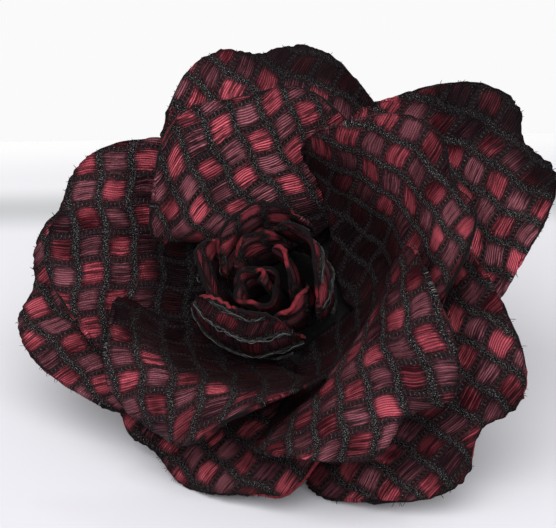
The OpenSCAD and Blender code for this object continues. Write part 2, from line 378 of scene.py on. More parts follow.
# length and width are shares of the ring's usual size; the last three columns turn and shift the weave on the flat cut
petals = {
    "outer": {
        "top":         (99, 8.0, 0.9, 1.01, 0.95, 12, 26, 26, -10, 20, 25, 10, 0, 0.06, 0, 1.0, 0, 125, 1.0, 0.5),
        "upper_right": (31, 8.0, 0.9, 1.15, 0.95, 6, 24, 24, -15, 20, 20, 10, 0, 0.07, 0, 1.0, 60, 62, 0, 1.5),
        "lower_right": (-34, 8.0, 0.9, 1.03, 1.05, 12, 20, 12, -8, 15, 15, 10, 0, 0.10, 0, 1.0, 120, 4, 2.0, 0),
        "bottom":      (-109, 8.0, 1.0, 0.76, 1.00, 10, 21, 20, 6, 15, 15, 10, 0, 0.10, -0.45, 1.0, 200, -74, 1.0, 2.0),
        "left":        (180, 8.0, 0.9, 1.01, 1.05, 12, 20, 20, 0, 15, 15, 5, 0, 0.06, 0, 1.0, 280, 46, 0, 0),
    },
    "middle": {
        "left":        (164, 8.4, 3.2, 0.97, 0.98, 13, 40, 43, 12, 22, 15, -5, 0, 0.03, 0, 0.8, 10, 66, 1.2, 0),
        "bottom":      (-119, 8.8, 5.5, 0.81, 1.02, 10, 64, 35, -60, 38, 28, 9, 0, 0.12, -0.90, 0.5, 80, -42, 0, 0),
        "lower_right": (-46, 8.6, 4.2, 1.11, 0.98, 17, 67, 28, -48, 30, 2, 12, 1, 0.08, 0, 0.8, 150, 32, 1.0, 1.0),
        "right":       (22, 8.4, 3.4, 1.00, 1.05, 12, 50, 50, 20, 50, 40, 8, 0, 0.08, 0, 0.8, 220, 70, 0, 1.0),
        "top":         (102, 8.4, 3.7, 0.80, 1.10, 15, 45, 50, 25, 60, 55, 8, 0, 0.03, 0, 0.8, 290, 164, 0.5, 2.4),
    },
    "inner": {
        "left":        (190, 7.2, 6.4, 1.05, 0.85, 50, 85, 95, 85, 59, 59, 10, 0, 0.03, 0, 0.4, 10, 20, 0, 0),
        "bottom":      (-110, 7.3, 6.4, 1.35, 1.12, 4, 80, 115, 118, 57, 57, 4, 0, 0.03, 0, 0.4, 80, 85, 0, 0),
        "right":       (20, 6.5, 6.4, 1.05, 1.00, 50, 85, 95, 85, 59, 59, 10, 0, 0.03, 0, 0.4, 150, 60, 1.0, 0),
        "top":         (110, 6.6, 6.4, 1.05, 0.95, 50, 85, 95, 85, 59, 59, 10, 0, 0.03, 0, 0.4, 220, 10, 0, 1.0),
    },
    "bud": {
        "upper_right": (20, 3.4, 6.4, 1.05, 0.84, 84, 88, 92, 80, 48, 48, 6, 0, 0.03, 0, 0.3, 40, 15, 1.0, 0),
        "left":        (114, 5.4, 6.4, 0.95, 0.84, 80, 86, 90, 84, 42, 42, 0, 0, 0.03, 0, 0.3, 130, 0, 2.0, 1.0),
        "lower_right": (-50, 6.6, 6.4, 0.95, 0.84, 80, 86, 88, 80, 54, 54, 8, 0, 0.03, 0, 0.3, 250, -20, 0, 1.0),
    },
}
# each ring's usual length and width, columns and rows of its mesh, how jagged the tips are, whether the ribs carry
# ropes, how pale the fine threads on them are, and how thick the fringe of frayed threads is
rings = {
    "outer": dict(length=34, width=40, grid=(90, 78), jag=0.9, ropes=True, pale=0.75, frays=1.0),
    "middle": dict(length=32, width=38, grid=(88, 74), jag=0.9, ropes=True, pale=1.3, frays=0.7),
    "inner": dict(length=14, width=19, grid=(50, 42), jag=1.2, ropes=True, pale=0.3, frays=0.8),
    "bud": dict(length=11, width=12, grid=(34, 30), jag=1.2, ropes=False, pale=0.3, frays=0.8),
}
# how much shorter or longer (minus) a petal is cut at one place of its tip, where across it that is, and how wide
petalTrim = {"middle_petal_bottom": (0.13, 0.66, 0.34), "outer_petal_bottom": (-0.20, 1.0, 0.28)}
# where along a petal the painted shade of the flower's hollow starts to fade and ends, how bright its satin is painted
# beyond that, lit or shaded (above one also a painted highlight), where the painted shade of its tip starts and how
# dark that is, and how much of its cut edge shows the red side of the weave
clothShade = {
    "outer": {
        "top": (0.1, 0.4, 1.25, 0.76, 0.96, 0.0),
        "upper_right": (0.1, 0.4, 1.4, 0.69, 0.92, 0.0),
        "left": (0.1, 0.5, 1.35, 0.9, 0.0, 0.1),
        "bottom": (0.1, 0.5, 0.85, 0.8, 0.2, 0.35),
        "lower_right": (0.1, 0.5, 0.95, 0.8, 0.2, 0.45),
    },
    "middle": {
        "left": (0.36, 0.56, 1.1, 0.9, 0.1, 0.30),
        "bottom": (0.50, 0.68, 0.9, 0.95, 0.0, 0.30),
        "lower_right": (0.28, 0.46, 0.95, 0.9, 0.2, 0.45),
        "right": (0.34, 0.60, 1.2, 0.85, 0.3, 0.10),
        "top": (0.12, 0.40, 1.35, 0.95, 0.0, 0.05),
    },
    "inner": {
        "others": (0.1, 0.7, 1.2, 0.9, 0.1, 0.28),
        "top": (0.0, 0.4, 1.3, 0.9, 0.1, 0.2),
        "bottom": (0.3, 0.9, 0.55, 0.9, 0.1, 0.35),
    },
    "bud": {
        "others": (0.1, 0.6, 1.5, 0.9, 0.1, 0.42),
    },
}
# which side the painted shade at the tip reaches further down
tipShadeLean = {"outer_petal_top": -0.40, "outer_petal_upper_right": 0.12}
frays = dict(perMillimetre=1.5, short=0.15, long=0.9, radius=0.05, start=0.3, floorGap=0.0002)
ropes = dict(
    radius=0.11, wind=0.19, twistLength=2.2, step=0.4, start=0.12, within=0.985,
    fineThreads=3, fine=0.065, fineDrift=1.0)


def clothPoint(p, q, t):
    # a point of the petal's middle face, at the share q of its half-width and t of its length
    r = np.full_like(t, p["rootR"])
    z = np.full_like(t, p["rootZ"])
    tilt = np.zeros_like(t)
    for k in range(3):
        s = np.clip(3 * t - k, 0, 1)
        a = math.radians(p["slope%d" % k])
        b = a + math.radians(p["slope%d" % (k + 1)] - p["slope%d" % k]) * s
        length = p["length"] * s / 3
        flat = np.abs(b - a) < 1e-4
        bend = np.where(flat, 1.0, b - a)
        r = r + np.where(flat, length * np.cos(a), length * (np.sin(b) - np.sin(a)) / bend)
        z = z + np.where(flat, length * np.sin(a), length * (np.cos(a) - np.cos(b)) / bend)
        tilt = np.where(s > 0, b, tilt) if k else b
    cup = np.radians(p["cupRoot"] * (1 - t) + p["cupTip"] * t) * q
    reach = p["width"] / 2 * q
    flat = np.abs(cup) < 1e-4
    turn = np.where(flat, 1.0, cup)
    across = np.where(flat, reach, reach * np.sin(cup) / turn)
    up = np.where(flat, 0.0, reach * (1 - np.cos(cup)) / turn)
    phase = math.radians(p["phase"])
    up = up + p["ruffle"] * (
        q * q * np.sin(2 * math.pi * petalShape["ruffleAlong"] * t + phase) * t
        + 0.6 * np.cos(2 * math.pi * petalShape["ruffleAcross"] * q + phase) * t ** 3)
    roll = np.radians(p["roll"]) * np.minimum(1, 10 * t)
    side = across * np.cos(roll) - up * np.sin(roll) + p["skew"] * t
    out = across * np.sin(roll) + up * np.cos(roll)
    r = r - out * np.sin(tilt)
    facing = math.radians(p["facing"])
    return np.stack([r * np.cos(facing) - side * np.sin(facing),
                     r * np.sin(facing) + side * np.cos(facing), z + out * np.cos(tilt)], -1)


def flatCut(p, u, v):
    # from column u and row v to the share of the half-width and of the length
    root, wide = petalShape["rootShare"], petalShape["wideFrom"]
    half = np.where(v < wide, root + (1 - root) * np.sin(math.pi / 2 * np.minimum(v / wide, 1)),
                    1 - petalShape["tipDraw"] * ((v - wide) / (1 - wide)) ** 2)
    dent = p["notch"] * np.exp(-((u - p["notchAt"]) / petalShape["notchSpread"]) ** 2) * v * v
    trimBy, trimAt, trimSpread = p["trim"]
    dent = dent + trimBy * np.exp(-((u - trimAt) / trimSpread) ** 2) * v * v
    return u * half, v * (1 - petalShape["corner"] * np.abs(u) ** 3 - dent)


def weavePlace(p, q, t):
    # where a point of the flat cut is on the weave, in millimetres, with the small drifts of real cloth
    x, y = q * p["width"] / 2, t * p["length"]
    a = math.radians(p["weaveTurn"])
    u = x * math.cos(a) + y * math.sin(a) + p["weaveU"]
    v = -x * math.sin(a) + y * math.cos(a) + p["weaveV"]
    phase = math.radians(p["phase"])
    u = u + 0.50 * np.sin(0.31 * v + phase) + 0.28 * np.sin(0.83 * v + 2 * phase)
    v = v + 0.45 * np.sin(0.27 * u + 1.7 * phase) + 0.25 * np.sin(0.71 * u + phase)
    return u, v


def nearLine(value, pitch):
    share = value / pitch
    return np.abs(share - np.round(share)) * pitch


def reliefAt(u, v):
    # raised ribs, lower cross ribs and pillowed squares, from 0 to 1
    fromRib, fromCross = nearLine(u, weave["ribPitch"]), nearLine(v, weave["crossPitch"])
    rib = np.exp(-(fromRib / 0.55) ** 2)
    cross = 0.45 * np.exp(-(fromCross / 0.38) ** 2)
    du = 1 - fromRib / (weave["ribPitch"] / 2)
    dv = 1 - fromCross / (weave["crossPitch"] / 2)
    pillow = 0.62 * (1 - du ** 3) * (1 - dv ** 3)
    return np.maximum(np.maximum(rib, cross), pillow)


def unit(vectors, least=1e-12):
    return vectors / (np.linalg.norm(vectors, axis=-1, keepdims=True) + least)


def gridNormals(points):
    return unit(np.cross(np.gradient(points, axis=1), np.gradient(points, axis=0)))


def noiseAlong(values, scale, y, z):
    return np.array([noise.noise(Vector((x * scale, y, z))) for x in values])


def newObject(name, points, faces, material):
    mesh = bpy.data.meshes.new(name)
    mesh.from_pydata([tuple(p) for p in points], [], faces)
    mesh.materials.append(material)
    mesh.polygons.foreach_set("use_smooth", [True] * len(faces))
    obj = bpy.data.objects.new(name, mesh)
    bpy.context.scene.collection.objects.link(obj)
    return obj


def setValues(obj, name, values):
    attribute = obj.data.attributes.new(name, "FLOAT", "POINT")
    attribute.data.foreach_set("value", values.astype(np.float32))


def sheetObject(name, middle, weaveUv, fromEdge, light, redShare, relief):
    # a closed cloth round a grid of middle points, its faces raised by the weave, with a rounded cut edge
    rows, cols = middle.shape[:2]
    normal = gridNormals(middle)
    half, height = petalShape["thick"] / 2, reliefAt(weaveUv[..., 0], weaveUv[..., 1])
    front = middle + normal * (half + relief * height - relief * 0.5)[..., None]
    back = middle - normal * (half + relief * 0.4 * height - relief * 0.2)[..., None]
    rim = ([(0, i) for i in range(cols - 1)] + [(j, cols - 1) for j in range(rows - 1)]
           + [(rows - 1, i) for i in range(cols - 1, 0, -1)] + [(j, 0) for j in range(rows - 1, 0, -1)])
    rimPoints = np.array([middle[j, i] for j, i in rim])
    within = np.array([middle[min(max(j, 1), rows - 2), min(max(i, 1), cols - 2)] for j, i in rim])
    rimOut = rimPoints + unit(rimPoints - within, 1e-9) * petalShape["edgeRound"]
    points = np.concatenate([front.reshape(-1, 3), back.reshape(-1, 3), rimOut])
    count = rows * cols
    number = np.arange(count).reshape(rows, cols)
    a, b = number[:-1, :-1].ravel(), number[:-1, 1:].ravel()
    c, d = number[1:, 1:].ravel(), number[1:, :-1].ravel()
    faces = np.stack([a, b, c, d], 1).tolist() + (np.stack([d, c, b, a], 1) + count).tolist()
    ring = np.array([j * cols + i for j, i in rim])
    slots = np.zeros(len(faces) + 2 * len(ring), np.int32)
    slots[len(faces):] = 1
    for k in range(len(ring)):
        m = (k + 1) % len(ring)
        p, q, e, f = int(ring[k]), int(ring[m]), 2 * count + k, 2 * count + m
        faces += [[q, p, e, f], [f, e, p + count, q + count]]
    obj = newObject(name, toFrame(points), faces, jacquard)
    obj.data.materials.append(edgeYarn)
    obj.data.polygons.foreach_set("material_index", slots)
    flatUv = weaveUv.reshape(-1, 2)
    pointUv = np.concatenate([flatUv, flatUv, flatUv[ring]])
    loops = np.zeros(len(obj.data.loops), np.int32)
    obj.data.loops.foreach_get("vertex_index", loops)
    obj.data.uv_layers.new(name="weave").data.foreach_set("uv", pointUv[loops].astype(np.float32).ravel())
    shade, edge = light.reshape(-1), fromEdge.reshape(-1)
    # the light attribute carries the satin's painted shade and painted highlights
    setValues(obj, "light", np.concatenate([shade, shade, shade[ring]]))
    setValues(obj, "fromEdge", np.concatenate([edge, edge, np.zeros(len(ring))]))
    # red and black patches along the cut edge
    lengthAlong = np.cumsum(np.linalg.norm(np.diff(rimPoints, axis=0, prepend=rimPoints[:1]), axis=1))
    patches = (noiseAlong(lengthAlong, 0.16, len(name) * 7.3, 0.5)
               + 0.35 * noiseAlong(lengthAlong, 0.9, (len(name) + 3) * 7.3, 0.5))
    tint = np.clip((patches + redShare - 0.5) * 4.0, 0, 1)
    pointTint = np.concatenate([np.zeros(2 * count), tint])
    pointTint[ring] = pointTint[ring + count] = tint
    setValues(obj, "tint", pointTint)
    obj.data.update()
    return obj


def tubesObject(name, tubes, sides, material):
    # many thin closed tubes as one mesh; each has a path of points, a radius, both in millimetres, and a tint
    helper = np.array([0.31, 0.23, 0.92])  # a direction that no path takes
    points, faces, tintOf = [], [], []
    base = 0
    for path, radius, tint in tubes:
        path = np.asarray(path)
        count = len(path)
        direction = unit(np.gradient(path, axis=0))
        sideA = unit(np.cross(direction, helper))
        sideB = np.cross(direction, sideA)
        size = np.full(count, radius)
        size[-1] = radius * 0.45
        for k in range(sides):
            angle = 2 * math.pi * k / sides
            points.append(path + (sideA * math.cos(angle) + sideB * math.sin(angle)) * size[:, None])
            a, b = base + k * count, base + (k + 1) % sides * count
            faces += [[a + j, b + j, b + j + 1, a + j + 1] for j in range(count - 1)]
        faces.append([base + k * count for k in range(sides - 1, -1, -1)])
        faces.append([base + k * count + count - 1 for k in range(sides)])
        tintOf.append(np.full(count * sides, tint))
        base += count * sides
    obj = newObject(name, toFrame(np.concatenate(points)), faces, material)
    setValues(obj, "tint", np.concatenate(tintOf))
    obj.data.update()
    return obj


def insideCut(outline, x, y):
    # even-odd test of points against the flat cut's outline
    inside = np.zeros(len(x), bool)
    ax, ay = outline[:, 0], outline[:, 1]
    bx, by = np.roll(ax, -1), np.roll(ay, -1)
    for k in range(len(ax)):
        crosses = (ay[k] > y) != (by[k] > y)
        if crosses.any():
            where = (bx[k] - ax[k]) * (y - ay[k]) / (by[k] - ay[k] + 1e-12) + ax[k]
            inside ^= crosses & (x < where)
    return inside


def outlineOf(p, count):
    side = np.linspace(0, 1, count)
    u = np.concatenate([np.full(count, -1.0), np.linspace(-1, 1, 2 * count), np.full(count, 1.0)])
    v = np.concatenate([side, np.full(2 * count, 1.0), side[::-1]])
    return flatCut(p, u, v)


def ribLines(p):
    # each rib's stretches on the flat cut, as shares of the half-width and the length, with its number
    q, t = outlineOf(p, 60)
    outline = np.stack([q * p["width"] / 2, t * p["length"]], 1) * ropes["within"]
    span = 1.6 * max(p["width"], p["length"])
    a = math.radians(p["weaveTurn"])
    along = np.arange(-span, span, ropes["step"])
    most = int(span / weave["ribPitch"])
    for number in range(-most, most + 1):
        # four corrections for the weave's small drifts
        targetU = np.full_like(along, number * weave["ribPitch"])
        u, v = targetU.copy(), along.copy()
        for _ in range(4):
            x = (u - p["weaveU"]) * math.cos(a) - (v - p["weaveV"]) * math.sin(a)
            y = (u - p["weaveU"]) * math.sin(a) + (v - p["weaveV"]) * math.cos(a)
            gotU, gotV = weavePlace(p, x / (p["width"] / 2), y / p["length"])
            u, v = u + targetU - gotU, v + along - gotV
        keep = insideCut(outline, x, y) & (y > ropes["start"] * p["length"])
        for run in np.split(np.arange(len(x)), np.where(np.diff(keep.astype(int)) != 0)[0] + 1):
            if len(run) >= 6 and keep[run[0]]:
                yield number, along[run], x[run] / (p["width"] / 2), y[run] / p["length"]


def makeRopes(name, p, pale):
    # twisted pairs of yarn that lie on the raised ribs, with fine loose threads over them
    rng = random.Random(name)
    tubes = []
    lift = petalShape["thick"] / 2 + petalShape["relief"] * 0.5 + 0.02
    for number, along, q, t in ribLines(p):
        centre = clothPoint(p, q, t)
        near = np.minimum(t + 0.01, 0.999)
        stepU = clothPoint(p, q + 0.01, t) - centre
        stepV = clothPoint(p, q, near) - clothPoint(p, q, near - 0.01)
        normal = unit(np.cross(stepU, stepV))
        aside = np.cross(unit(np.gradient(centre, axis=0)), normal)
        turnBy = 2 * math.pi * np.arange(len(along)) * ropes["step"] / ropes["twistLength"] + rng.uniform(0, 6)
        shade = rng.uniform(0.35, 1.0)
        for strand in (0, math.pi):
            wobble = noiseAlong(along, 0.4, number * 3.1 + strand, len(name))
            up = lift + ropes["wind"] * 0.5 * np.sin(turnBy + strand)
            over = ropes["wind"] * np.cos(turnBy + strand) + 0.25 * wobble
            path = centre + normal * up[:, None] + aside * over[:, None]
            tubes.append((path, ropes["radius"], shade * rng.uniform(0.0, 0.3)))
        for k in range(ropes["fineThreads"]):
            drift = noiseAlong(along, 0.55, number * 2.3 + k * 9.1, len(name) + 4.0)
            lifted = np.abs(noiseAlong(along, 0.7, number * 1.9 + k * 5.3, 2.0))
            path = (centre + normal * (lift + 0.1 + 0.35 * lifted)[:, None]
                    + aside * (ropes["fineDrift"] * drift)[:, None])
            tubes.append((path, ropes["fine"], rng.uniform(0.15, 1.0) ** 2 * pale))
    return tubesObject(name + "_ropes", tubes, 4, ropeYarn)


def makeFrays(name, p, share):
    # short broken threads along the cut edge
    rng = random.Random(name + "frays")
    q, t = outlineOf(p, 90)
    edge = clothPoint(p, q, t)
    within = clothPoint(p, q * 0.96, t * 0.96 + 0.02)
    total = np.concatenate([[0], np.cumsum(np.linalg.norm(np.diff(edge, axis=0), axis=1))])
    tubes = []
    for _ in range(int(total[-1] * frays["perMillimetre"] * share)):
        k = min(int(np.searchsorted(total, rng.uniform(0, total[-1]))), len(edge) - 1)
        if t[k] < frays["start"]:
            continue
        between = rng.random()
        start = edge[k] * between + edge[k - 1] * (1 - between)
        outward = unit(edge[k] - within[k], 1e-9)
        side = unit(edge[k] - edge[k - 1], 1e-9)
        face = np.cross(outward, side)
        reach = frays["short"] + (frays["long"] - frays["short"]) * rng.random() ** 3
        drift = side * rng.uniform(-0.8, 0.8) + face * rng.uniform(-0.7, 0.7)
        curl = side * rng.uniform(-0.5, 0.5) + face * rng.uniform(-0.5, 0.5)
        start = start + face * rng.uniform(-0.3, 0.3) - outward * 0.15
        path = [start + outward * reach * s + (drift * s + curl * s * s) * reach * 0.7 for s in (0.0, 0.35, 0.7, 1.0)]
        if toFrame(path)[:, 2].min() < frays["floorGap"]:
            continue
        tubes.append((path, frays["radius"] * rng.uniform(0.7, 1.2), rng.random() ** 2))
    return tubesObject(name + "_frays", tubes, 3, frayYarn)


def roughen(middle, tipJag, t, wu, wv, seed):
    # small puckers of the stiffened cloth, and a jagged cut at its tip and sides
    pucker = np.sin(0.55 * wu + seed) * np.sin(0.47 * wv + 2 * seed) + 0.6 * np.sin(1.1 * wu + 0.9 * wv + seed)
    middle = middle + gridNormals(middle) * (petalShape["pucker"] * pucker * np.minimum(1, 2 * t))[..., None]
    rows, cols = middle.shape[:2]
    jag = noiseAlong(range(cols), 0.55, seed, 1.0) * tipJag
    middle[-1] = middle[-1] + (middle[-1] - middle[-2]) * jag[:, None]
    for column, neighbour in ((0, 1), (-1, -2)):
        jag = noiseAlong(range(rows), 0.55, seed + 5, column * 3.0) * 0.9
        middle[:, column] = middle[:, column] + (middle[:, column] - middle[:, neighbour]) * jag[:, None]
    return middle


def satinLight(name, shades, q, t, waver):
    # painted light and shade of the satin: painted shade down in the flower's hollow, painted brightness beyond it, and
    # painted shade at some tips
    darkFrom, darkTo, brightest, tipShadeFrom, tipShadeBy, redShare = shades.get(name.split("_petal_")[1]) or shades["others"]
    share = np.clip((t + waver - darkFrom) / (darkTo - darkFrom), 0, 1)
    dull = np.clip((t + waver + tipShadeLean.get(name, 0.0) * q - tipShadeFrom) / 0.2, 0, 1) * tipShadeBy
    return brightest * (0.06 + 0.94 * share * share * (3 - 2 * share)) * (1 - dull), redShare


def flatArea(x, y):
    # half the cross product of each quad's diagonals
    ax, ay = x[1:, 1:] - x[:-1, :-1], y[1:, 1:] - y[:-1, :-1]
    bx, by = x[1:, :-1] - x[:-1, 1:], y[1:, :-1] - y[:-1, 1:]
    return abs(float((ax * by - bx * ay).sum())) / 2


def makePetal(name, usual, row):
    ring = rings[usual]
    p = dict(zip(petalColumns, (float(x) for x in row)))
    p["length"] *= ring["length"]
    p["width"] *= ring["width"]
    p["trim"] = petalTrim.get(name, (0.0, 0.0, 1.0))
    cols, rows = ring["grid"]
    u, v = np.meshgrid(np.linspace(-1, 1, cols + 1), np.linspace(0, 1, rows + 1))
    q, t = flatCut(p, u, v)
    wu, wv = weavePlace(p, q, t)
    seed = len(name) * 1.7 + p["facing"] * 0.05
    middle = roughen(clothPoint(p, q, t), ring["jag"], t, wu, wv, seed)
    fromEdge = np.minimum((1 - np.abs(u)) * p["width"] / 2 * 0.9, (1 - v) * p["length"])
    # light carries painted shade down in the flower's hollow and at some tips, and painted brightness or a painted
    # highlight elsewhere
    light, redShare = satinLight(name, clothShade[usual], q, t, 0.06 * np.sin(0.35 * wu + seed) * np.sin(0.3 * wv))
    cloth = sheetObject(name + "_cloth", middle, np.stack([wu, wv], -1), fromEdge, light, redShare,
                        petalShape["relief"])
    extras = [makeFrays(name, p, ring["frays"])]
    if ring["ropes"]:
        extras.append(makeRopes(name, p, ring["pale"]))
    placePieces([cloth] + extras, name)
    width, length = p["width"] / 1000, p["length"] / 1000
    area = flatArea(q * p["width"] / 2, t * p["length"])
    min(area / 1e6, width * length)


for usual, ringPetals in petals.items():
    for place, row in ringPetals.items():
        makePetal(usual + "_petal_" + place, usual, row)
print("petals made:", sum(len(ringPetals) for ringPetals in petals.values()))

# the rolled strip in the middle, in millimetres
roll = dict(
    middle=(-2.1, -1.7), turns=1.5, inner=1.9, outer=3.5, foot=5.9, high=10.0, highEnd=6.0,
    corners=4, cornerOut=0.45, flare=0.5, wave=0.4, relief=0.2, bright=1.4, redShare=0.55)


def makeRoll():
    s, v = np.meshgrid(np.linspace(0, 1, 91), np.linspace(0, 1, 25), indexing="ij")
    angle = 2 * math.pi * roll["turns"] * s
    r = (roll["inner"] + (roll["outer"] - roll["inner"]) * s
         + v * v * (roll["flare"] * s - roll["cornerOut"] * np.cos(roll["corners"] * angle)))
    z = (roll["foot"] + v * (roll["high"] + (roll["highEnd"] - roll["high"]) * s)
         + roll["wave"] * v * v * np.sin(1.7 * angle + 0.8))
    middle = np.stack([roll["middle"][0] + r * np.cos(angle), roll["middle"][1] + r * np.sin(angle), z], -1)
    meanRadius = (roll["inner"] + roll["outer"]) / 2
    length = roll["turns"] * 2 * math.pi * meanRadius
    weaveUv = np.stack([s * length + 1.0, v * roll["high"] + 0.8], -1)
    fromEdge = np.minimum((1 - v) * roll["high"], np.minimum(s, 1 - s) * length)
    # painted shade: dark at the strip's foot down in the flower, painted brighter towards its top
    light = roll["bright"] * np.clip(1.8 * v - 0.6, 0.05, 1)
    piece = sheetObject("bud_roll_cloth", middle, weaveUv, fromEdge, light, roll["redShare"], roll["relief"])
    placePieces([piece], "bud_roll")


makeRoll()
print("rolled strip made")


def toFlowerPlace(obj):
    # shaped in the flower's own millimetres, then laid down with it; its place stays in the mesh
    turn = Matrix([list(row) + [place] for row, place in zip(flowerTurn / 1000, flowerPlace / 1000)] + [[0, 0, 0, 1]])
    obj.data.transform(turn)
    obj.data.update()


def nameIt(name, material):
    obj = bpy.context.object
    obj.name = obj.data.name = name
    obj.data.materials.append(material)
    return obj


def addCylinder(sides, radius, high, place=(0, 0, 0), turn=(0, 0, 0)):
    bpy.ops.object.select_all(action="DESELECT")
    bpy.ops.mesh.primitive_cylinder_add(vertices=sides, radius=radius, depth=high, location=place, rotation=turn)


def goTo(mode):
    bpy.ops.object.mode_set(mode=mode)


def editAll():
    goTo("EDIT")
    bpy.ops.mesh.select_all(action="SELECT")


def editSome(kind, parts, chosen):
    # stays in edit mode with only the chosen edges or faces selected
    goTo("EDIT")
    bpy.ops.mesh.select_all(action="DESELECT")
    goTo("OBJECT")
    for part in parts:
        part.select = chosen(part)
    goTo("EDIT")
    bpy.ops.mesh.select_mode(type=kind)


def roundCylinder(width):
    # rounds all edges of the cylinder that was just added
    editAll()
    bpy.ops.mesh.bevel(offset=width, segments=4, affect="EDGES")
    goTo("OBJECT")


def makeFeltMaterial(name, dark, pale, fibreScale):
    # matted short fibres, with a few paler ones on top
    material, n = newMaterial(name)
    place = n.place()
    fibre = n.noise(place, fibreScale, 6.0, 0.75)
    clump = n.noise(place, 260.0, 3.0, 0.6)
    stray = n.step(n.noise(place, fibreScale * 0.6, 2.0, 0.4), 0.62, 0.7)
    shade = fibre * 0.6 + clump * 0.3
    n.surface({"Base Color": n.mix(shade + stray * 0.5, dark, pale),
               "Roughness": n.step(fibre, 0.3, 0.7, (0.85, 0.98)), "Sheen Weight": 0.02, "Specular IOR Level": 0.03})
    n.bump(shade, 0.8, 0.0004)
    return material


feltBack = dict(
    radius=18.0, thick=1.5, edgeRound=0.55, ragged=0.16, inset=0.12, fibres=2600.0,
    stitches=44, stitchInset=1.6, stitchLength=1.5, stitchHigh=0.12, threadRadius=0.16,
    dark=(0.004, 0.004, 0.0045), pale=(0.024, 0.023, 0.024))


def makeFeltBack():
    addCylinder(160, feltBack["radius"], feltBack["thick"])
    felt = makeFeltMaterial("blackFelt", feltBack["dark"], feltBack["pale"], feltBack["fibres"])
    disc = nameIt("felt_back_disc", felt)
    roundCylinder(feltBack["edgeRound"])
    # the cut edge wavers, and the disc hangs under the petals' roots
    for vertex in disc.data.vertices:
        x, y = vertex.co[:2]
        r = math.hypot(x, y)
        if r > 1:
            waver = feltBack["ragged"] * noise.noise(Vector((x * 0.5, y * 0.5, 3.0))) - feltBack["inset"]
            vertex.co.x += x / r * waver
            vertex.co.y += y / r * waver
        vertex.co.z -= feltBack["thick"] / 2
    bpy.ops.object.shade_smooth_by_angle(angle=math.radians(50))
    toFlowerPlace(disc)
    # running stitches that hold the felt to the petals' roots
    tubes = []
    for k in range(feltBack["stitches"]):
        angle = 2 * math.pi * k / feltBack["stitches"] + 0.02 * math.sin(5.0 * k)
        radius = feltBack["radius"] - feltBack["stitchInset"] + 0.12 * math.sin(2.3 * k)
        half = feltBack["stitchLength"] / 2 / radius
        path = [(radius * math.cos(angle + half * share), radius * math.sin(angle + half * share),
                 -feltBack["thick"] - feltBack["stitchHigh"] * (1 - share * share) + 0.06)
                for share in np.linspace(-1, 1, 7)]
        tubes.append((path, feltBack["threadRadius"], 0.4 + 0.4 * math.sin(k) ** 2))
    stitches = tubesObject("felt_back_stitches", tubes, 8, stitchYarn)
    placePieces([disc, stitches], "felt_back")


makeFeltBack()
print("felt back made")

wadding = dict(
    radius=7.6, knobs=0.28, round=0.9, voxel=0.35, skin=1.2, endSkin=0.6, fibres=1700.0,
    dark=(0.003, 0.0026, 0.003), pale=(0.007, 0.006, 0.0065))


def makeCore():
    high = flowerPose["coreTop"] - flowerPose["coreFoot"]
    addCylinder(64, wadding["radius"], high)
    stuff = makeFeltMaterial("darkWadding", wadding["dark"], wadding["pale"], wadding["fibres"])
    core = nameIt("core_wadding", stuff)
    roundCylinder(wadding["round"])
    remesh = core.modifiers.new("even mesh", "REMESH")
    remesh.mode = "VOXEL"
    remesh.voxel_size = wadding["voxel"]
    bpy.ops.object.modifier_apply(modifier=remesh.name)
    # wound wadding: lumps and shallow grooves, never outside the glued core
    for vertex in core.data.vertices:
        co = vertex.co
        inward = wadding["knobs"] * (abs(noise.noise(co * 0.9)) + 0.5 * abs(noise.noise(co * 2.3)))
        r = math.hypot(co.x, co.y) + 1e-6
        if r > wadding["radius"] - wadding["skin"]:
            co.x -= co.x / r * inward
            co.y -= co.y / r * inward
        if abs(co.z) > high / 2 - wadding["endSkin"]:
            co.z -= math.copysign(inward, co.z)
        co.z += (flowerPose["coreTop"] + flowerPose["coreFoot"]) / 2
    bpy.ops.object.shade_smooth()
    toFlowerPlace(core)
    placePieces([core], "core")


makeCore()
print("core made")

clasp = dict(
    length=25.0, width=6.0, strip=0.8, low=9.0, gap=0.3, drop=9.0,
    corner=1.2, holes=3, holeRadius=0.9, holePitch=5.2,
    end=2.0, endWide=4.4, endLip=0.5, endDish=0.35, postNarrower=0.3,
    needle=0.45, point=3.5, pointShare=0.25, brush=(1.0, 14.0, 14.0),
    stripEdge=0.12, endEdge=0.14, postEdge=0.16,
    bright=(0.62, 0.60, 0.57), dull=(0.40, 0.37, 0.33), tarnish=(0.11, 0.085, 0.06))


def makeSteel():
    # nickel plate: fine brush lines, rubbed bright and dull in patches, and brown in others
    material, n = newMaterial("claspSteel")
    place = n.place()
    stretch = n.add("Mapping")
    stretch.inputs["Scale"].default_value = clasp["brush"]
    n.link(place, stretch.inputs["Vector"])
    brush = n.noise(Wire(n, stretch.outputs[0]), 900.0, 3.0, 0.6)
    blotch = n.noise(place, 420.0, 4.0, 0.6)
    stain = n.step(n.noise(place, 210.0, 5.0, 0.7), 0.56, 0.72)
    metal = n.mix(n.step(blotch, 0.35, 0.65), clasp["bright"], clasp["dull"])
    n.surface({"Base Color": n.mix(stain * 0.6, metal, clasp["tarnish"]), "Metallic": 1.0,
               "Roughness": n.step(brush, 0.2, 0.8, (0.22, 0.36)) + stain * 0.25})
    n.bump(brush + blotch * 0.6, 0.35, 4e-05)
    return material


def bevelEdges(obj, width):
    bpy.context.view_layer.objects.active = obj
    edge = obj.modifiers.new("edge", "BEVEL")
    edge.width = width
    edge.segments = 3
    edge.limit_method = "ANGLE"
    edge.angle_limit = math.radians(35)
    bpy.ops.object.modifier_apply(modifier=edge.name)


def addBox(name, material, size, place):
    # stays in edit mode, with all of the box selected
    bpy.ops.object.select_all(action="DESELECT")
    bpy.ops.mesh.primitive_cube_add(size=1, location=place)
    box = nameIt(name, material)
    editAll()
    bpy.ops.transform.resize(value=size, center_override=place)
    return box


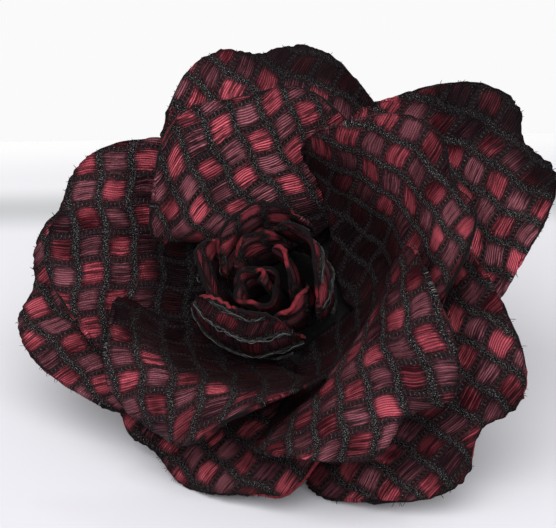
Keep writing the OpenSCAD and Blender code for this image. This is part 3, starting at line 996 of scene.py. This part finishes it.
def makeStrip(steel, low, middleZ):
    # base strip with rounded corners and sewing holes
    strip = addBox("pin_clasp_strip", steel, (clasp["length"], clasp["width"], clasp["strip"]), (0, low, middleZ))
    corners = strip.data.vertices

    def upright(edge):
        a, b = (corners[k].co for k in edge.vertices)
        return abs(a.z - b.z) > clasp["strip"] * 0.5

    goTo("OBJECT")
    editSome("EDGE", strip.data.edges, upright)
    bpy.ops.mesh.bevel(offset=clasp["corner"], segments=6, affect="EDGES")
    goTo("OBJECT")
    for k in range(clasp["holes"]):
        addCylinder(32, clasp["holeRadius"], 4, ((k - (clasp["holes"] - 1) / 2) * clasp["holePitch"], low, middleZ))
        drill = bpy.context.object
        bpy.context.view_layer.objects.active = strip
        cut = strip.modifiers.new("hole", "BOOLEAN")
        cut.object = drill
        cut.operation = "DIFFERENCE"
        bpy.ops.object.modifier_apply(modifier=cut.name)
        bpy.data.objects.remove(drill)
    bevelEdges(strip, clasp["stripEdge"])
    return strip


def makeEnd(name, steel, x, low, middleZ, needleZ):
    # a rolled end on a bent post, pressed in one with it
    addCylinder(48, clasp["end"], clasp["endWide"], (x, low, needleZ), (math.pi / 2, 0, 0))
    barrel = nameIt("pin_clasp_" + name, steel)
    bpy.ops.object.transform_apply()
    editSome("FACE", barrel.data.polygons, lambda face: abs(face.normal.y) > 0.9)
    bpy.ops.mesh.inset(thickness=clasp["endLip"], use_individual=True)
    bpy.ops.mesh.extrude_region_shrink_fatten(TRANSFORM_OT_shrink_fatten={"value": -clasp["endDish"]})
    goTo("OBJECT")
    bevelEdges(barrel, clasp["endEdge"])
    high = middleZ - (needleZ + clasp["end"] * 0.6)
    wide = clasp["endWide"] - clasp["postNarrower"]
    post = addBox("pin_clasp_" + name + "_post", steel, (clasp["strip"], wide, high), (x, low, middleZ - high / 2))
    bpy.ops.mesh.subdivide(number_cuts=3)
    goTo("OBJECT")
    bevelEdges(post, clasp["postEdge"])
    return [barrel, post]


def makeNeedle(steel, endX, low, needleZ):
    # a long point under the catch
    addCylinder(32, clasp["needle"], 2 * endX - clasp["point"], (-clasp["point"] / 2, low, needleZ),
                (0, math.pi / 2, 0))
    needle = nameIt("pin_clasp_needle", steel)
    bpy.ops.object.transform_apply()
    for face in needle.data.polygons:
        face.select = face.normal.x > 0.9
    goTo("EDIT")
    bpy.ops.mesh.select_mode(type="FACE")
    bpy.ops.mesh.extrude_region_move(TRANSFORM_OT_translate={"value": (clasp["point"], 0, 0)})
    bpy.ops.transform.resize(value=(1, clasp["pointShare"], clasp["pointShare"]), center_override=(endX, low, needleZ))
    goTo("OBJECT")
    return needle


def makeClasp():
    steel = makeSteel()
    endX = clasp["length"] / 2 - clasp["end"]
    middleZ = -feltBack["thick"] - clasp["gap"] - clasp["strip"] / 2
    needleZ = -feltBack["thick"] - clasp["drop"]
    low = -clasp["low"]
    parts = [makeStrip(steel, low, middleZ)]
    parts += makeEnd("hinge", steel, -endX, low, middleZ, needleZ)
    parts += makeEnd("catch", steel, endX, low, middleZ, needleZ)
    parts.append(makeNeedle(steel, endX, low, needleZ))
    for part in parts:
        bpy.ops.object.select_all(action="DESELECT")
        part.select_set(True)
        bpy.context.view_layer.objects.active = part
        bpy.ops.object.transform_apply()
        bpy.ops.object.shade_smooth_by_angle(angle=math.radians(40))
        # level again, against the flower's spin
        part.data.transform(Matrix.Rotation(math.radians(-flowerPose["spin"]), 4, "Z"))
        toFlowerPlace(part)
    placePieces(parts, "pin_clasp")


makeClasp()
print("clasp made")

# metres; each band's colour comes in over the depths that it names
stage = dict(
    width=6.0, front=-3.0, middle=-0.2, back=0.112, edgeRadius=0.0004, drop=0.3,
    near=(0.545, 0.54, 0.575), nearPale=(0.565, 0.56, 0.592),
    bands=[(-0.02, 0.062, (0.645, 0.64, 0.675)), (0.0685, 0.0795, (0.435, 0.445, 0.455)),
           (0.0800, 0.0905, (0.665, 0.66, 0.685)), (0.0920, 0.1110, (0.765, 0.765, 0.77))],
    rough=(0.10, 0.14))


def makeStage():
    # a white table top with a rounded back edge; its colour is darker towards the camera, has a painted grey band of
    # shade across it behind the flower, and is painted paler towards the back edge
    r, back = stage["edgeRadius"], stage["back"]
    profile = [(stage["front"], 0.0), (stage["middle"], 0.0), (back - r, 0.0)]
    profile += [(back - r + r * math.sin(a), r * math.cos(a) - r) for a in np.linspace(0.1, math.pi / 2, 12)]
    profile += [(back, -stage["drop"])]
    half = stage["width"] / 2
    points = [(side * half, y, z) for y, z in profile for side in (-1, 1)]
    faces = [(2 * k, 2 * k + 1, 2 * k + 3, 2 * k + 2) for k in range(len(profile) - 1)]
    material, n = newMaterial("whiteTable")
    place = n.place()
    depth = n.split(place, 1)
    colour = n.mix(n.noise(place, 3.0), stage["near"], stage["nearPale"])
    # painted shade and light on the table: a grey band of painted shade, then paler bands towards the back edge
    for start, end, bandColour in stage["bands"]:
        colour = n.mix(n.step(depth, start, end), colour, bandColour)
    n.surface({"Base Color": colour, "Roughness": n.step(n.noise(place, 9.0), 0.3, 0.7, stage["rough"])})
    newObject("floor", points, faces, material)


makeStage()

# the lights' places and sizes in metres, their power in watts
lighting = {
    "backdrop": 0.955, "ambient": 0.47, "target": (0, 0, 0.03),
    "keyLight": {"place": (-0.10, -0.53, 0.70), "size": (1.05, 0.85), "power": 14.8},
    "fillLight": {"place": (0.6, -0.5, 0.35), "size": (0.4, 0.4), "power": 1.5},
}


def makeWorld():
    # the camera sees a white backdrop, while the room round the flower is dimmer
    world = bpy.data.worlds.new("studio")
    bpy.context.scene.world = world
    world.use_nodes = True
    n = Nodes(world.node_tree)
    backdrop = world.node_tree.nodes["Background"]
    isCamera = n.wire("LightPath", output="Is Camera Ray")
    n.link((1.0, 1.0, 1.0), backdrop.inputs["Color"])
    n.link(n.step(isCamera, 0.0, 1.0, (lighting["ambient"], lighting["backdrop"])), backdrop.inputs["Strength"])


def makeLight(name):
    look = lighting[name]
    data = bpy.data.lights.new(name, "AREA")
    data.shape = "RECTANGLE"
    data.size, data.size_y = look["size"]
    data.energy = look["power"]
    obj = bpy.data.objects.new(name, data)
    bpy.context.scene.collection.objects.link(obj)
    obj.location = look["place"]
    obj.rotation_euler = (Vector(lighting["target"]) - Vector(look["place"])).to_track_quat("-Z", "Y").to_euler()


makeWorld()
makeLight("keyLight")
makeLight("fillLight")

view = dict(
    towards=(0.276, -0.329, 0.903), up=(0.0, 0.94, 0.342),  # in the flower's own axes
    distance=0.33, nearest=0.01,  # metres
    focal=2145.0, centreX=293.0, centreY=308.0, imageX=556, imageY=528,  # pixels
    sensor=36.0,
)


def makeCamera():
    back = Vector(flowerTurn @ np.array(view["towards"])).normalized()
    up = Vector(flowerTurn @ np.array(view["up"])).normalized()
    right = up.cross(back).normalized()
    place = Vector(flowerPlace / 1000) + back * view["distance"]
    offX = view["centreX"] - view["imageX"] / 2
    offY = view["centreY"] - view["imageY"] / 2
    z = -(-back * view["focal"] - right * offX + up * offY).normalized()
    x = up.cross(z).normalized()
    y = z.cross(x)
    data = bpy.data.cameras.new("camera")
    data.sensor_width = view["sensor"]
    data.lens = view["focal"] / view["imageX"] * view["sensor"]
    data.clip_start = view["nearest"]
    camera = bpy.data.objects.new("camera", data)
    bpy.context.scene.collection.objects.link(camera)
    camera.matrix_world = Matrix([[x[k], y[k], z[k], place[k]] for k in range(3)] + [[0, 0, 0, 1]])
    bpy.context.scene.camera = camera


makeCamera()
bpy.context.scene.view_settings.view_transform = "Standard"
print("stage, light and camera made")
